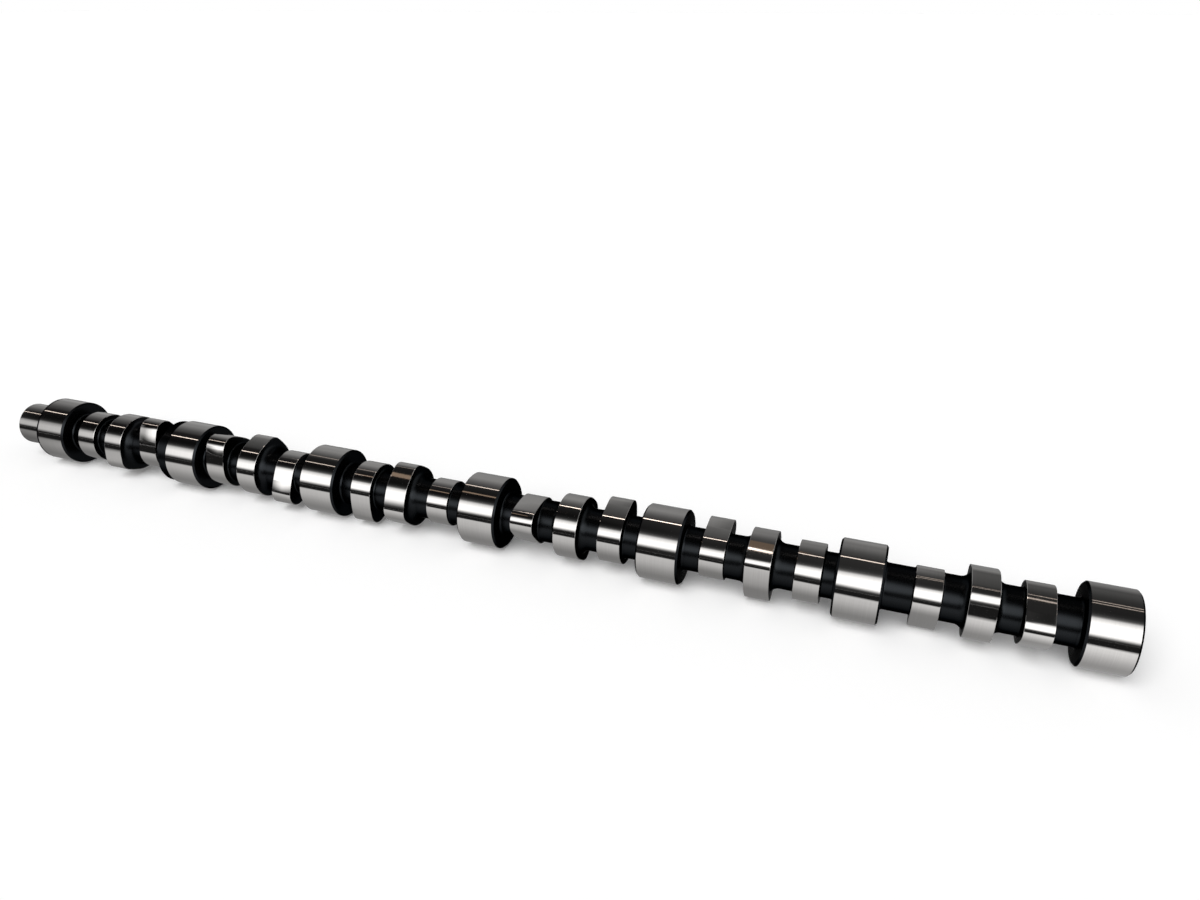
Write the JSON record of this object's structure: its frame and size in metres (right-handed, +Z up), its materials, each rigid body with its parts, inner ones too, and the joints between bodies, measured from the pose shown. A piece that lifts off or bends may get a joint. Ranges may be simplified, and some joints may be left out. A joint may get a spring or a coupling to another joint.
{
  "type": "camshaft",
  "caption": "Overhead camshaft of a heavy in-line diesel: ground journals of one diameter, three cam lobes to a cylinder, black unground core, plain gear nose.",
  "frame": {"origin": "on the shaft axis, in the front face of the first journal, the shoulder that the drive gear meets", "axes": "+X along the shaft from the gear nose to the rear journal, +Z up as the shaft lies on its journals"},
  "size_m": [1.0584, 0.0636, 0.0634],
  "materials": {
    "camshaft_steel": "black phosphate, with ground and polished journals, cam tracks and gear nose"
  },
  "bodies": {
    "root": {"camshaft": "camshaft_steel"}
  },
  "joints": []
}
